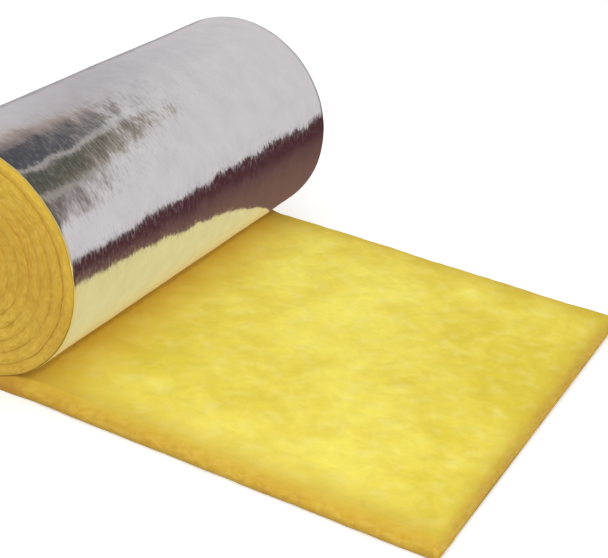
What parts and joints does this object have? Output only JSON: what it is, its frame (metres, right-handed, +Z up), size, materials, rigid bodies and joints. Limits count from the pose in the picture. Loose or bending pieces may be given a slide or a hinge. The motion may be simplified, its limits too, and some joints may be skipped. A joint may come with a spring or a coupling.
{
  "type": "insulation roll",
  "caption": "Foil-faced glass wool blanket in a roll with an open eye, its free tail laid out flat on the floor with the wool side up.",
  "frame": {"origin": "on the floor at mid-width, where the free tail leaves the bottom of the roll", "axes": "+X along the free tail, +Y along the roll's axis, +Z up"},
  "size_m": [1.491, 1.2, 0.5907],
  "materials": {
    "glass_wool": "matt yellow glass fibre, bound with resin, soft and slightly mottled",
    "aluminium_foil": "bright laminated foil with fine wrinkles round the roll"
  },
  "bodies": {
    "root": {"glass_wool_blanket": "glass_wool", "aluminium_foil_facing": "aluminium_foil"}
  },
  "joints": []
}
